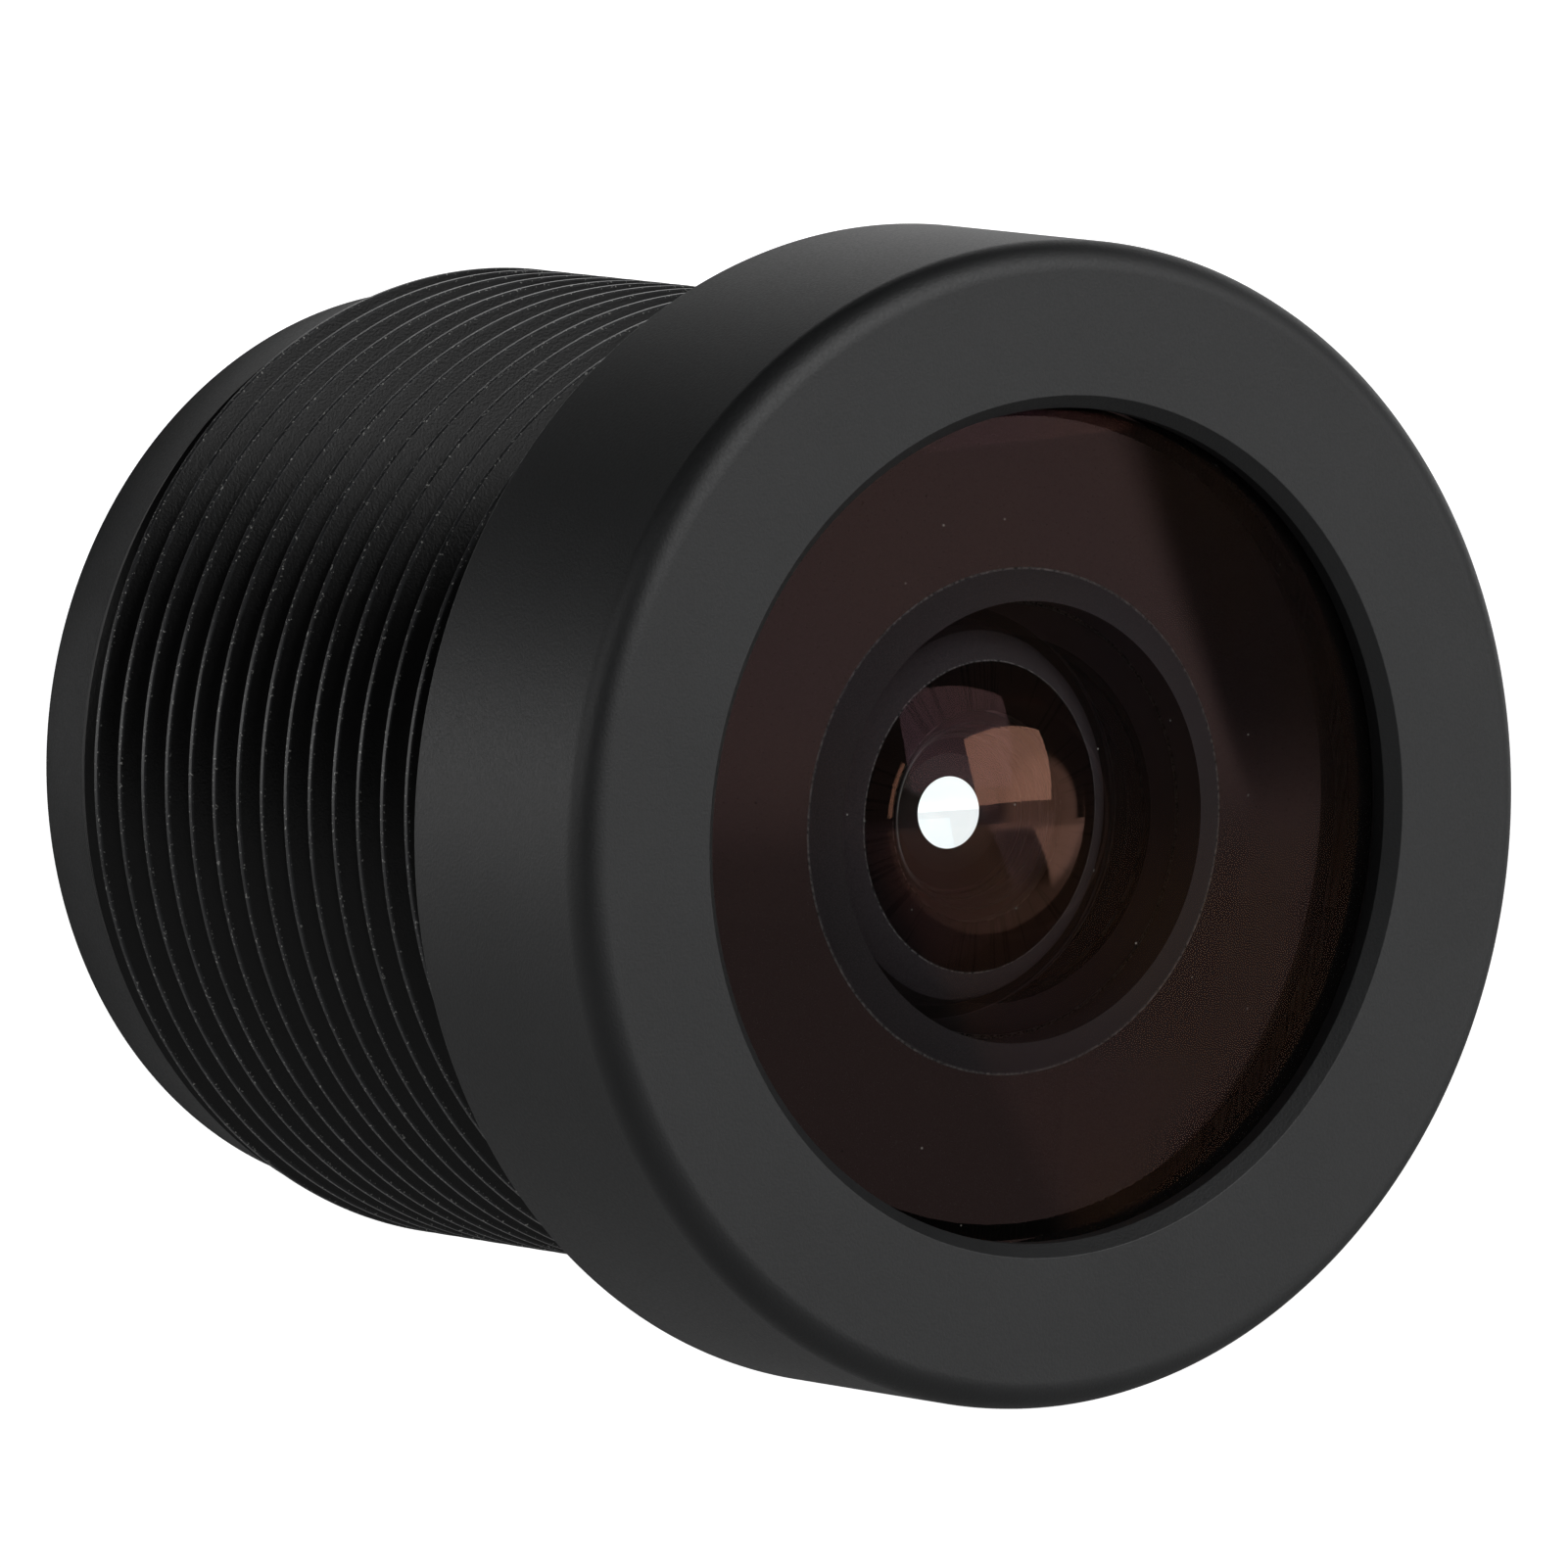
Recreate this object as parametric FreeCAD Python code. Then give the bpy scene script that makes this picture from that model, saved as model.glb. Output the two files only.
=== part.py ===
import FreeCAD, Part
import math
import os
from FreeCAD import Base, Vector

# A fixed-focus board lens with an M12 x 0.5 thread, in millimetres.
# The optical axis is Y. The lens looks towards -Y, and +Y is the rear.
# The origin lies on the axis, in the plane of the head's rear shoulder.

# Head
head_r = 7.0
head_length = 3.44
head_front_rounding = 0.36
head_rear_chamfer = 0.03
mouth_r = 5.0
mouth_chamfer = 0.16
cap_roof_thickness = 0.95

# Joint between the cap and the barrel's nose
cap_wall_thickness = 0.73
cap_nose_gap = 0.05
nose_recess = 0.14
cap_adhesive_height = 0.10
cap_adhesive_width = 0.16

# Outside thread, ISO metric form
thread_crest_r = 5.95
thread_pitch = 0.5
flats_per_pitch = 8
flank_angle = 30.0
thread_core_r = 5.2
thread_end_y = 8.96
lead_in_angle = 30.0

# Rear pilot
pilot_r = 5.59
pilot_length = 0.81
pilot_chamfer = 0.05
rear_mouth_chamfer = 0.30

# Bores
stack_bore_r = 3.60
retainer_bore_r = 4.30
lip_r = 3.05
lip_thickness = 0.50

# Clearances
screw_fit = 0.02
stack_fit = 0.02
glass_fit = 0.05
foil_fit = 0.04

# Seal ring under the first lens
groove_inner_r = 4.55
groove_width = 0.60
groove_depth = 0.40
seal_side_gap = 0.04
seal_corner_r = 0.16

# First lens, the front glass
first_setback = 0.02
first_front_radius = 37.0
first_rear_radius = 4.30
first_thickness = 0.55
first_r = 5.35
first_rim_r = 2.95
first_bevel = 0.08

# Second lens
second_air = 1.10
second_front_radius = 16.3
second_rear_radius = 2.35
second_thickness = 0.50
second_front_clear_r = 2.25
second_land_width = 0.40
second_step_bevel = 0.15
second_rear_clear_r = 1.62

# Baffle and spacer behind the second lens
baffle_hole_r = 1.59
baffle_thickness = 0.08
front_spacer_bore_r = 2.10
front_spacer_lip_r = 1.85
front_spacer_lip_back = 0.20
front_spacer_lip_width = 0.15
front_spacer_cone_r = 2.50

# Third lens
third_air = 1.53
third_front_radius = 5.3
third_thickness = 2.40
third_clear_r = 2.20

# Aperture stop and its spacer
stop_air_before = 0.55
stop_air_after = 0.73
stop_thickness = 0.06
stop_hole_r = 0.94
middle_spacer_front_r = 2.40
middle_spacer_rear_r = 1.60

# Cemented pair and its cell
fourth_thickness = 2.15
fourth_r = 1.75
cement_radius = 1.83
fifth_thickness = 0.45
fifth_rear_radius = 4.14
fifth_r = 2.60
fifth_clear_r = 2.20
cell_front_hole_r = 1.25
cell_rear_hole_r = 1.50
cell_overhang = 0.25
cell_shelf_gap = 0.03

# Sixth lens and its spacer
sixth_air = 0.15
sixth_front_radius = 9.1
sixth_rear_radius = 15.0
sixth_thickness = 0.92
sixth_front_clear_r = 2.40
sixth_rear_clear_r = 2.50
rear_spacer_bore_r = 2.30
rear_spacer_flare_r = 2.60
rear_spacer_flare_length = 0.20

# Pressure ring and retainer
pressure_ring_thickness = 0.18
pressure_ring_bore_r = 2.80
retainer_shelf_gap = 0.12
retainer_hole_r = 2.30
retainer_flare_r = 2.45
retainer_recess_r = 3.60
retainer_rim_height = 0.17
slot_count = 2
slot_width = 0.80
slot_depth = 0.45
slot_inner_r = 3.75

# Infrared cut filter and the adhesives
filter_air = 0.68
filter_side = 5.0
filter_thickness = 0.30
filter_adhesive_height = 0.20
dot_count = 3
dot_r = 0.35
dot_centre_inset = 0.20

axis_origin = Vector(0, 0, 0)
axis_direction = Vector(0, 1, 0)


def sag(radius, r):
    """Depth of a spherical surface at the radius r, from its vertex."""
    return radius - math.sqrt(radius * radius - r * r)


# Stations along the axis
face_y = -head_length
first_front_y = face_y + first_setback
first_rear_y = first_front_y + first_thickness
first_seat_y = first_rear_y + sag(first_rear_radius, first_rim_r)
cap_lip_y = first_front_y + sag(first_front_radius, mouth_r)
cap_roof_y = face_y + cap_roof_thickness
nose_front_y = cap_roof_y + cap_nose_gap
nose_rear_y = -nose_recess

second_front_y = first_rear_y + second_air
second_rear_y = second_front_y + second_thickness
second_land_y = second_front_y + sag(second_front_radius, second_front_clear_r)
second_seat_y = first_seat_y + lip_thickness
second_back_y = second_rear_y + sag(second_rear_radius, second_rear_clear_r)
baffle_back_y = second_back_y + baffle_thickness

third_front_y = second_rear_y + third_air
third_seat_y = third_front_y + sag(third_front_radius, third_clear_r)
third_rear_y = third_front_y + third_thickness

stop_y = third_rear_y + stop_air_before
stop_front_y = stop_y - stop_thickness / 2
stop_back_y = stop_y + stop_thickness / 2

fourth_front_y = stop_y + stop_air_after
cement_y = fourth_front_y + fourth_thickness
pair_edge_y = cement_y - sag(cement_radius, fourth_r)
fifth_rear_y = cement_y + fifth_thickness
fifth_back_y = fifth_rear_y - sag(fifth_rear_radius, fifth_clear_r)
cell_back_y = fifth_back_y + cell_overhang

sixth_front_y = fifth_rear_y + sixth_air
sixth_seat_y = sixth_front_y + sag(sixth_front_radius, sixth_front_clear_r)
sixth_rear_y = sixth_front_y + sixth_thickness
sixth_back_y = sixth_rear_y - sag(sixth_rear_radius, sixth_rear_clear_r)

retainer_front_y = sixth_back_y + pressure_ring_thickness
retainer_shelf_y = retainer_front_y - retainer_shelf_gap
filter_front_y = sixth_rear_y + filter_air
filter_rear_y = filter_front_y + filter_thickness
retainer_back_y = filter_rear_y + retainer_rim_height
rear_y = thread_end_y + pilot_length

# Radii that follow from the walls and fits
cap_bore_r = head_r - cap_wall_thickness
cap_joint_r = cap_bore_r - screw_fit
cap_recess_r = cap_bore_r - cap_adhesive_width
first_pocket_r = first_r + glass_fit
groove_outer_r = groove_inner_r + groove_width
stack_r = stack_bore_r - stack_fit
foil_r = stack_bore_r - foil_fit
retainer_r = retainer_bore_r - screw_fit
thread_flat = thread_pitch / flats_per_pitch
thread_depth = (thread_pitch / 2 - thread_flat) / math.tan(math.radians(flank_angle))
thread_root_r = thread_crest_r - thread_depth


def at(r, y):
    """A point of a section: distance from the axis, place along it."""
    return Vector(r, y, 0)


def chain(points):
    """Straight edges through the points."""
    return [Part.LineSegment(a, b).toShape() for a, b in zip(points, points[1:])]


def sphere_edge(vertex_y, radius, bulge, start_r, end_r):
    """Arc of a spherical surface. bulge is 1 where its rim lies behind its vertex, -1 where in front."""
    points = []
    for r in (start_r, (start_r + end_r) / 2, end_r):
        points.append(at(r, vertex_y + bulge * sag(radius, r)))
    return Part.Arc(*points).toShape()


def turned(edges):
    """The solid that a closed section sweeps about the optical axis."""
    section = Part.Face(Part.Wire(edges))
    return section.revolve(axis_origin, axis_direction, 360)


def turned_ring(points):
    return turned(chain(points + points[:1]))


def around(shape, angle):
    """A copy of the shape, turned about the optical axis."""
    copy = shape.copy()
    copy.rotate(axis_origin, axis_direction, angle)
    return copy


def cylinder_between(r, y0, y1):
    return Part.makeCylinder(r, y1 - y0, Vector(0, y0, 0), axis_direction)


# The thread is built from quarter turns of its four faces, which repeat up the helix.
quarters = 4
quarter_angle = 2 * math.pi / quarters
quarter_rise = thread_pitch / quarters


def thread_cylinder(r):
    surface = Part.Cylinder()
    surface.Radius = r
    return surface


def helix_edge(r, z):
    start = Base.Vector2d(0, z)
    end = Base.Vector2d(quarter_angle, z + quarter_rise)
    return Part.Geom2d.Line2dSegment(start, end).toShape(thread_cylinder(r))


def helical_band(r, z, width):
    """A quarter turn of a cylinder between two parallel helices."""
    corners = [
        Base.Vector2d(0, z),
        Base.Vector2d(quarter_angle, z + quarter_rise),
        Base.Vector2d(quarter_angle, z + quarter_rise + width),
        Base.Vector2d(0, z + width),
    ]
    surface = thread_cylinder(r)
    edges = []
    for a, b in zip(corners, corners[1:] + corners[:1]):
        edges.append(Part.Geom2d.Line2dSegment(a, b).toShape(surface))
    face = Part.Face(surface, Part.Wire(edges))
    face.validate()
    return face


def up_the_helix(face, quarter):
    copy = face.copy()
    copy.rotate(axis_origin, Vector(0, 0, 1), quarter * 360 / quarters)
    copy.translate(Vector(0, 0, quarter * quarter_rise))
    return copy


def thread_sleeve(length):
    """A threaded sleeve along +Z from z = 0, longer than length, with helical ends."""
    turns = math.ceil(length / thread_pitch) + 2
    height = turns * thread_pitch
    flank = thread_pitch / 2 - thread_flat
    outline = [
        (thread_crest_r, 0),
        (thread_crest_r, thread_flat),
        (thread_root_r, thread_flat + flank),
        (thread_root_r, 2 * thread_flat + flank),
        (thread_crest_r, thread_pitch),
    ]
    turn_faces = []
    for (r0, z0), (r1, z1) in zip(outline, outline[1:]):
        if r0 == r1:
            turn_faces.append(helical_band(r0, z0, z1 - z0))
        else:
            turn_faces.append(Part.makeRuledSurface(helix_edge(r0, z0), helix_edge(r1, z1)))
    ramp = Part.makeRuledSurface(helix_edge(thread_crest_r, 0), helix_edge(thread_core_r, 0))
    bore = helical_band(thread_core_r, 0, height)
    step_points = [Vector(r, 0, z) for r, z in outline]
    step_points += [Vector(thread_core_r, 0, thread_pitch), Vector(thread_core_r, 0, 0)]
    step = Part.Face(Part.makePolygon(step_points + step_points[:1]))

    faces = [step, step.translated(Vector(0, 0, height))]
    for quarter in range(turns * quarters):
        faces += [up_the_helix(face, quarter) for face in turn_faces]
    for quarter in range(quarters):
        low_ramp = up_the_helix(ramp, quarter)
        faces += [low_ramp, low_ramp.translated(Vector(0, 0, height)), up_the_helix(bore, quarter)]
    shell = Part.makeShell(faces)
    shell.sewShape()
    sleeve = Part.makeSolid(shell)
    sleeve.translate(Vector(0, 0, -thread_pitch))
    return sleeve


def outside_thread():
    """The thread from the nose to the pilot. It stays clear of the cap, and ends in a lead-in cone."""
    sleeve = thread_sleeve(thread_end_y - nose_rear_y)
    sleeve.rotate(axis_origin, Vector(1, 0, 0), -90)
    sleeve.translate(Vector(0, nose_rear_y, 0))
    waste_r = thread_crest_r + thread_pitch
    cone_length = (waste_r - pilot_r) / math.tan(math.radians(lead_in_angle))
    inside_r = thread_core_r - thread_pitch
    envelope = turned_ring([
        at(inside_r, nose_rear_y),
        at(cap_recess_r, nose_rear_y),
        at(cap_recess_r, 0),
        at(waste_r, 0),
        at(waste_r, thread_end_y - cone_length),
        at(pilot_r, thread_end_y),
        at(inside_r, thread_end_y),
    ])
    return sleeve.common(envelope)


def make_barrel():
    body = turned_ring([
        at(first_pocket_r, nose_front_y),
        at(cap_joint_r, nose_front_y),
        at(cap_joint_r, nose_rear_y),
        at(thread_core_r, nose_rear_y),
        at(thread_core_r, thread_end_y),
        at(pilot_r, thread_end_y),
        at(pilot_r, rear_y - pilot_chamfer),
        at(pilot_r - pilot_chamfer, rear_y),
        at(retainer_bore_r + rear_mouth_chamfer, rear_y),
        at(retainer_bore_r, rear_y - rear_mouth_chamfer),
        at(retainer_bore_r, retainer_shelf_y),
        at(stack_bore_r, retainer_shelf_y),
        at(stack_bore_r, second_seat_y),
        at(lip_r, second_seat_y),
        at(lip_r, first_seat_y),
        at(groove_inner_r, first_seat_y),
        at(groove_inner_r, first_seat_y + groove_depth),
        at(groove_outer_r, first_seat_y + groove_depth),
        at(groove_outer_r, first_seat_y),
        at(first_pocket_r, first_seat_y),
    ])
    return body.fuse(outside_thread())


def make_front_cap():
    """The head. Its front edge is rounded and its rear edge is nearly sharp."""
    c = head_front_rounding
    bow = c * (1 - math.sqrt(0.5))
    edges = chain([
        at(mouth_r, cap_lip_y),
        at(mouth_r, face_y + mouth_chamfer),
        at(mouth_r + mouth_chamfer, face_y),
        at(head_r - c, face_y),
    ])
    edges.append(Part.Arc(at(head_r - c, face_y), at(head_r - bow, face_y + bow), at(head_r, face_y + c)).toShape())
    edges += chain([
        at(head_r, face_y + c),
        at(head_r, -head_rear_chamfer),
        at(head_r - head_rear_chamfer, 0),
        at(cap_bore_r, 0),
        at(cap_bore_r, cap_roof_y),
        at(first_pocket_r, cap_roof_y),
        at(first_pocket_r, cap_lip_y),
        at(mouth_r, cap_lip_y),
    ])
    return turned(edges)


def make_cap_lock_adhesive():
    """A fillet of adhesive between the nose's rear face and the cap's bore."""
    return turned_ring([
        at(cap_bore_r, nose_rear_y),
        at(cap_bore_r, nose_rear_y + cap_adhesive_height),
        at(cap_recess_r, nose_rear_y),
    ])


def make_front_seal_ring():
    """The rubber ring, squeezed to the depth of its groove."""
    inner_r = groove_inner_r + seal_side_gap
    outer_r = groove_outer_r - seal_side_gap
    low = first_seat_y
    high = first_seat_y + groove_depth
    c = seal_corner_r
    bow = c * (1 - math.sqrt(0.5))
    edges = chain([at(inner_r + c, low), at(outer_r - c, low)])
    edges.append(Part.Arc(at(outer_r - c, low), at(outer_r - bow, low + bow), at(outer_r, low + c)).toShape())
    edges += chain([at(outer_r, low + c), at(outer_r, high - c)])
    edges.append(Part.Arc(at(outer_r, high - c), at(outer_r - bow, high - bow), at(outer_r - c, high)).toShape())
    edges += chain([at(outer_r - c, high), at(inner_r + c, high)])
    edges.append(Part.Arc(at(inner_r + c, high), at(inner_r + bow, high - bow), at(inner_r, high - c)).toShape())
    edges += chain([at(inner_r, high - c), at(inner_r, low + c)])
    edges.append(Part.Arc(at(inner_r, low + c), at(inner_r + bow, low + bow), at(inner_r + c, low)).toShape())
    return turned(edges)


def make_first_lens():
    """Negative meniscus: a weak convex front and a deep hollow at the rear."""
    bevel_r = first_r - first_bevel
    bevel_y = first_front_y + sag(first_front_radius, bevel_r)
    edges = [sphere_edge(first_front_y, first_front_radius, 1, 0, bevel_r)]
    edges += chain([
        at(bevel_r, bevel_y),
        at(first_r, bevel_y + first_bevel),
        at(first_r, first_seat_y),
        at(first_rim_r, first_seat_y),
    ])
    edges.append(sphere_edge(first_rear_y, first_rear_radius, 1, first_rim_r, 0))
    edges += chain([at(0, first_rear_y), at(0, first_front_y)])
    return turned(edges)


def make_second_lens():
    """Negative meniscus with a step in its front that sits round the barrel's lip."""
    land_r = second_front_clear_r + second_land_width
    step_r = land_r + second_step_bevel
    edges = [sphere_edge(second_front_y, second_front_radius, 1, 0, second_front_clear_r)]
    edges += chain([
        at(second_front_clear_r, second_land_y),
        at(land_r, second_land_y),
        at(step_r, second_land_y + second_step_bevel),
        at(step_r, second_seat_y),
        at(stack_r, second_seat_y),
        at(stack_r, second_back_y),
        at(second_rear_clear_r, second_back_y),
    ])
    edges.append(sphere_edge(second_rear_y, second_rear_radius, 1, second_rear_clear_r, 0))
    edges += chain([at(0, second_rear_y), at(0, second_front_y)])
    return turned(edges)


def make_glare_baffle():
    return turned_ring([
        at(baffle_hole_r, second_back_y),
        at(foil_r, second_back_y),
        at(foil_r, baffle_back_y),
        at(baffle_hole_r, baffle_back_y),
    ])


def make_front_spacer():
    """Ring between the baffle and the third lens, with a knife lip against stray light."""
    lip_back_y = third_front_y - front_spacer_lip_back
    lip_front_y = lip_back_y - front_spacer_lip_width
    return turned_ring([
        at(front_spacer_bore_r, baffle_back_y),
        at(stack_r, baffle_back_y),
        at(stack_r, third_seat_y),
        at(front_spacer_cone_r, third_seat_y),
        at(front_spacer_lip_r, lip_back_y),
        at(front_spacer_lip_r, lip_front_y),
        at(front_spacer_bore_r, lip_front_y),
    ])


def make_third_lens():
    """Thick plano-convex lens, its flat side towards the stop."""
    edges = [sphere_edge(third_front_y, third_front_radius, 1, 0, third_clear_r)]
    edges += chain([
        at(third_clear_r, third_seat_y),
        at(stack_r, third_seat_y),
        at(stack_r, third_rear_y),
        at(0, third_rear_y),
        at(0, third_front_y),
    ])
    return turned(edges)


def make_middle_spacer():
    return turned_ring([
        at(middle_spacer_front_r, third_rear_y),
        at(stack_r, third_rear_y),
        at(stack_r, stop_front_y),
        at(middle_spacer_rear_r, stop_front_y),
    ])


def make_aperture_stop():
    return turned_ring([
        at(stop_hole_r, stop_front_y),
        at(foil_r, stop_front_y),
        at(foil_r, stop_back_y),
        at(stop_hole_r, stop_back_y),
    ])


def make_doublet_cell():
    """Ring that centres the small fourth lens and the wider fifth lens."""
    fourth_pocket_r = fourth_r + glass_fit
    fifth_pocket_r = fifth_r + glass_fit
    shelf_y = pair_edge_y - cell_shelf_gap
    return turned_ring([
        at(cell_front_hole_r, stop_back_y),
        at(stack_r, stop_back_y),
        at(stack_r, cell_back_y),
        at(fifth_pocket_r, cell_back_y),
        at(fifth_pocket_r, shelf_y),
        at(fourth_pocket_r, shelf_y),
        at(fourth_pocket_r, fourth_front_y),
        at(cell_rear_hole_r, fourth_front_y),
    ])


def make_fourth_lens():
    """Plano-convex half of the cemented pair, flat side towards the stop."""
    edges = chain([at(0, fourth_front_y), at(fourth_r, fourth_front_y), at(fourth_r, pair_edge_y)])
    edges.append(sphere_edge(cement_y, cement_radius, -1, fourth_r, 0))
    edges += chain([at(0, cement_y), at(0, fourth_front_y)])
    return turned(edges)


def make_fifth_lens():
    """Negative half of the cemented pair, hollow towards the stop."""
    edges = [sphere_edge(cement_y, cement_radius, -1, 0, fourth_r)]
    edges += chain([
        at(fourth_r, pair_edge_y),
        at(fifth_r, pair_edge_y),
        at(fifth_r, fifth_back_y),
        at(fifth_clear_r, fifth_back_y),
    ])
    edges.append(sphere_edge(fifth_rear_y, fifth_rear_radius, -1, fifth_clear_r, 0))
    edges += chain([at(0, fifth_rear_y), at(0, cement_y)])
    return turned(edges)


def make_rear_spacer():
    """Ring behind the cell, whose front boss holds the cemented pair."""
    return turned_ring([
        at(rear_spacer_bore_r, fifth_back_y),
        at(fifth_r, fifth_back_y),
        at(fifth_r, cell_back_y),
        at(stack_r, cell_back_y),
        at(stack_r, sixth_seat_y),
        at(rear_spacer_flare_r, sixth_seat_y),
        at(rear_spacer_bore_r, sixth_seat_y - rear_spacer_flare_length),
    ])


def make_sixth_lens():
    """Biconvex lens nearest to the sensor."""
    edges = [sphere_edge(sixth_front_y, sixth_front_radius, 1, 0, sixth_front_clear_r)]
    edges += chain([
        at(sixth_front_clear_r, sixth_seat_y),
        at(stack_r, sixth_seat_y),
        at(stack_r, sixth_back_y),
        at(sixth_rear_clear_r, sixth_back_y),
    ])
    edges.append(sphere_edge(sixth_rear_y, sixth_rear_radius, -1, sixth_rear_clear_r, 0))
    edges += chain([at(0, sixth_rear_y), at(0, sixth_front_y)])
    return turned(edges)


def make_pressure_ring():
    return turned_ring([
        at(pressure_ring_bore_r, sixth_back_y),
        at(foil_r, sixth_back_y),
        at(foil_r, retainer_front_y),
        at(pressure_ring_bore_r, retainer_front_y),
    ])


def make_rear_retainer():
    """Screwed ring that clamps the stack, with a recess for the filter and spanner slots."""
    ring = turned_ring([
        at(retainer_flare_r, retainer_front_y),
        at(retainer_r, retainer_front_y),
        at(retainer_r, retainer_back_y),
        at(retainer_recess_r, retainer_back_y),
        at(retainer_recess_r, filter_front_y),
        at(retainer_hole_r, filter_front_y),
    ])
    slot = Part.makeBox(
        retainer_bore_r - slot_inner_r,
        slot_depth,
        slot_width,
        Vector(slot_inner_r, retainer_back_y - slot_depth, -slot_width / 2),
    )
    for i in range(slot_count):
        ring = ring.cut(around(slot, i * 360 / slot_count))
    return ring


def make_ir_cut_filter():
    corner = Vector(-filter_side / 2, filter_front_y, -filter_side / 2)
    return Part.makeBox(filter_side, filter_thickness, filter_side, corner)


def make_filter_adhesive():
    """Bead that fills the recess round the filter, up to part of its edge."""
    bead = cylinder_between(retainer_recess_r, filter_front_y, filter_front_y + filter_adhesive_height)
    return bead.cut(make_ir_cut_filter())


def make_retainer_lock_adhesive():
    """Dots on the retainer's rear face that reach the wall of the bore."""
    centre_r = retainer_bore_r - dot_centre_inset
    ball = Part.makeSphere(dot_r, Vector(0, retainer_back_y, centre_r))
    room = cylinder_between(retainer_bore_r, retainer_back_y, retainer_back_y + dot_r)
    room = room.cut(cylinder_between(retainer_recess_r, retainer_back_y, retainer_back_y + dot_r))
    dot = ball.common(room)
    return Part.makeCompound([around(dot, i * 360 / dot_count) for i in range(dot_count)])


makers = {
    "barrel": make_barrel,
    "front_cap": make_front_cap,
    "cap_lock_adhesive": make_cap_lock_adhesive,
    "front_seal_ring": make_front_seal_ring,
    "first_lens": make_first_lens,
    "second_lens": make_second_lens,
    "glare_baffle": make_glare_baffle,
    "front_spacer": make_front_spacer,
    "third_lens": make_third_lens,
    "middle_spacer": make_middle_spacer,
    "aperture_stop": make_aperture_stop,
    "doublet_cell": make_doublet_cell,
    "fourth_lens": make_fourth_lens,
    "fifth_lens": make_fifth_lens,
    "rear_spacer": make_rear_spacer,
    "sixth_lens": make_sixth_lens,
    "pressure_ring": make_pressure_ring,
    "rear_retainer": make_rear_retainer,
    "ir_cut_filter": make_ir_cut_filter,
    "filter_adhesive": make_filter_adhesive,
    "retainer_lock_adhesive": make_retainer_lock_adhesive,
}

os.makedirs("parts", exist_ok=True)
for name, make in makers.items():
    shape = make()
    shape.exportStep("parts/" + name + ".step")
    print(name, "solids", len(shape.Solids), "volume", round(shape.Volume, 3), "valid", shape.isValid())
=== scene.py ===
import math

import bmesh
import bpy
import numpy as np
from mathutils import Matrix, Vector


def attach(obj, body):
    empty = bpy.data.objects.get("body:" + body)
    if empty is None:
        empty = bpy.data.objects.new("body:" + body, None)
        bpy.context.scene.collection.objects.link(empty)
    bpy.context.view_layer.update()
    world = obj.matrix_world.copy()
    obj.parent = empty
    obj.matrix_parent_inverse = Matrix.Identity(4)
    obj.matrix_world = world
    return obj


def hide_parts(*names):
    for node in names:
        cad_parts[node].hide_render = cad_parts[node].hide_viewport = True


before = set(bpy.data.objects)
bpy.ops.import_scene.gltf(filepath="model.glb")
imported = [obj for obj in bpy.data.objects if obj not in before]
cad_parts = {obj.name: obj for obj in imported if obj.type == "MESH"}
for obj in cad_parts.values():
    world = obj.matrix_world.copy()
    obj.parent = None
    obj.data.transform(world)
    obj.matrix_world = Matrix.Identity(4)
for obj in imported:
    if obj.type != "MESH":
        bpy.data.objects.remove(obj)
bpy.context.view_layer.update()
print("frame loaded:", len(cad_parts), "CAD nodes")

# Lengths below are in millimetres, as on a lens drawing. The optical axis is Y and the front looks to -Y.
mm = 0.001


# ---- mesh helpers

def sag(radius, r):
    return radius - math.sqrt(radius * radius - r * r)


def arc(vertexY, radius, bulge, startR, endR, count):
    # points of a spherical surface; bulge is 1 if its rim lies behind its vertex, -1 if in front
    return [(r, vertexY + bulge * sag(radius, r)) for r in np.linspace(startR, endR, count)]


def softened(corners, steps):
    # corners are (r, y, size of the rounding); gives the runs of a closed outline, arcs and straights apart
    nearlyStraight = 1.55
    cuts = []
    for i, (r, y, size) in enumerate(corners):
        here = np.array((r, y))
        before = np.array(corners[i - 1][:2]) - here
        after = np.array(corners[(i + 1) % len(corners)][:2]) - here
        before, after = before / np.linalg.norm(before), after / np.linalg.norm(after)
        half = math.acos(max(-1.0, min(1.0, float(before @ after)))) / 2
        if size == 0 or half > nearlyStraight:
            cuts.append([tuple(here)])
            continue
        middle = before + after
        centre = here + middle / np.linalg.norm(middle) * size / math.sin(half)
        a = here + before * size / math.tan(half) - centre
        b = here + after * size / math.tan(half) - centre
        turnAngle = math.atan2(a[0] * b[1] - a[1] * b[0], float(a @ b))
        rounded = []
        for t in np.linspace(0, turnAngle, steps + 1):
            c, s = math.cos(t), math.sin(t)
            rounded.append(tuple(centre + (c * a[0] - s * a[1], s * a[0] + c * a[1])))
        cuts.append(rounded)
    runs = []
    for i, cut in enumerate(cuts):
        if len(cut) > 1:
            runs.append(cut)
        runs.append([cut[-1], cuts[(i + 1) % len(cuts)][0]])
    return runs


def runNormals(points):
    # normals along a run, to its left; a run of three or more points is taken as an arc
    p = np.array(points)
    d = np.diff(p, axis=0)
    seg = np.stack((-d[:, 1], d[:, 0]), 1) / np.linalg.norm(d, axis=1)[:, None]
    if len(seg) == 1:
        return np.repeat(seg, 2, 0)
    inner = seg[:-1] + seg[1:]
    inner /= np.linalg.norm(inner, axis=1)[:, None]
    first = 2 * (inner[0] @ seg[0]) * seg[0] - inner[0]
    last = 2 * (inner[-1] @ seg[-1]) * seg[-1] - inner[-1]
    return np.vstack((first, inner, last))


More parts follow.
